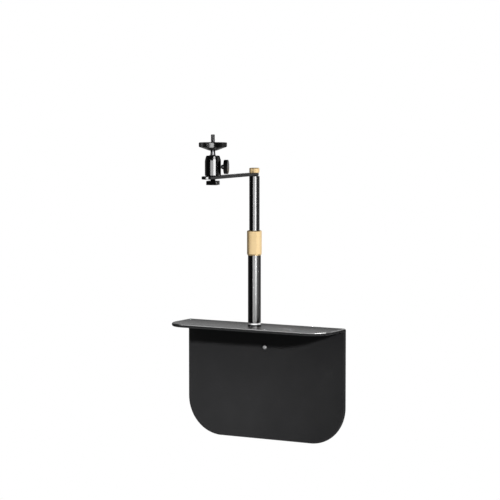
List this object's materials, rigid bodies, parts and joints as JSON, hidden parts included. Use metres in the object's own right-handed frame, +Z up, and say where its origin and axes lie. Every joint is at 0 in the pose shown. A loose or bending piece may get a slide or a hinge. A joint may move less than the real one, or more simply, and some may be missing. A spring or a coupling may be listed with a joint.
{
  "type": "projector wall shelf",
  "caption": "Bent sheet wall shelf with a telescopic pole, a swinging flat arm and a small ball head whose upright screw carries a video projector.",
  "frame": {"origin": "on the back face of the wall plate, half way between its bottom edge and the shelf top, on the middle line", "axes": "+Z up, +Y into the wall, +X along the wall to the right as seen from the room"},
  "size_m": [0.282, 0.1891, 0.4837],
  "materials": {
    "powder_black": "fine matt black powder coat",
    "gloss_black": "smooth black finish, half gloss",
    "gold": "pale gold, satin",
    "bright": "polished plating",
    "steel": "bare steel",
    "black_plastic": "black plastic"
  },
  "bodies": {
    "wall_bracket": {"shelf_sheet": "powder_black", "foot_ring": "gloss_black", "trim_ring": "bright", "lower_tube": "gloss_black", "foot_plug": "steel", "foot_washer": "steel", "foot_bolt": "steel", "grip_sleeve": "black_plastic"},
    "collar": {"lock_collar": "gold"},
    "mast": {"upper_tube": "gloss_black", "guide_bush": "black_plastic", "mast_plug": "steel", "arm_washer": "black_plastic"},
    "arm": {"swing_arm": "gloss_black"},
    "cap": {"cap_knob": "gold", "cap_stud": "steel"},
    "head": {"head_housing": "gloss_black"},
    "tilt_ball": {"ball": "steel"},
    "stem": {"ball_stem": "steel"},
    "wheel": {"lock_wheel": "black_plastic"},
    "side_knob": {"clamp_knob": "black_plastic", "clamp_screw": "steel"},
    "under_knob": {"base_knob": "black_plastic", "base_washer": "steel", "base_screw": "steel"}
  },
  "joints": [
    {"name": "mast_slide", "type": "slide", "parent": "wall_bracket", "child": "mast", "axis": [0, 0, 1], "range_m": [-0.065, 0.02]},
    {"name": "collar_turn", "type": "hinge", "parent": "wall_bracket", "child": "collar", "pos_m": [0, -0.039, 0.2217], "axis": [0, 0, 1], "continuous": true},
    {"name": "arm_swing", "type": "hinge", "parent": "mast", "child": "arm", "pos_m": [0, -0.039, 0.3257], "axis": [0, 0, 1], "range_deg": [-90, 90]},
    {"name": "cap_turn", "type": "hinge", "parent": "mast", "child": "cap", "pos_m": [0, -0.039, 0.3317], "axis": [0, 0, 1], "continuous": true},
    {"name": "head_pan", "type": "hinge", "parent": "arm", "child": "head", "pos_m": [0, -0.164, 0.3417], "axis": [0, 0, 1], "continuous": true},
    {"name": "base_knob_turn", "type": "hinge", "parent": "arm", "child": "under_knob", "pos_m": [0, -0.164, 0.3197], "axis": [0, 0, 1], "continuous": true},
    {"name": "ball_tilt", "type": "hinge", "parent": "head", "child": "tilt_ball", "pos_m": [0, -0.164, 0.3537], "axis": [0.9272, 0.3746, 0], "range_deg": [-25, 25]},
    {"name": "stem_spin", "type": "hinge", "parent": "tilt_ball", "child": "stem", "pos_m": [0, -0.164, 0.3537], "axis": [0, 0, 1], "continuous": true},
    {"name": "wheel_turn", "type": "hinge", "parent": "stem", "child": "wheel", "pos_m": [0, -0.164, 0.375], "axis": [0, 0, 1], "continuous": true},
    {"name": "clamp_knob_turn", "type": "hinge", "parent": "head", "child": "side_knob", "pos_m": [0.01854, -0.15651, 0.3436], "axis": [0.9272, 0.3746, 0], "continuous": true}
  ]
}
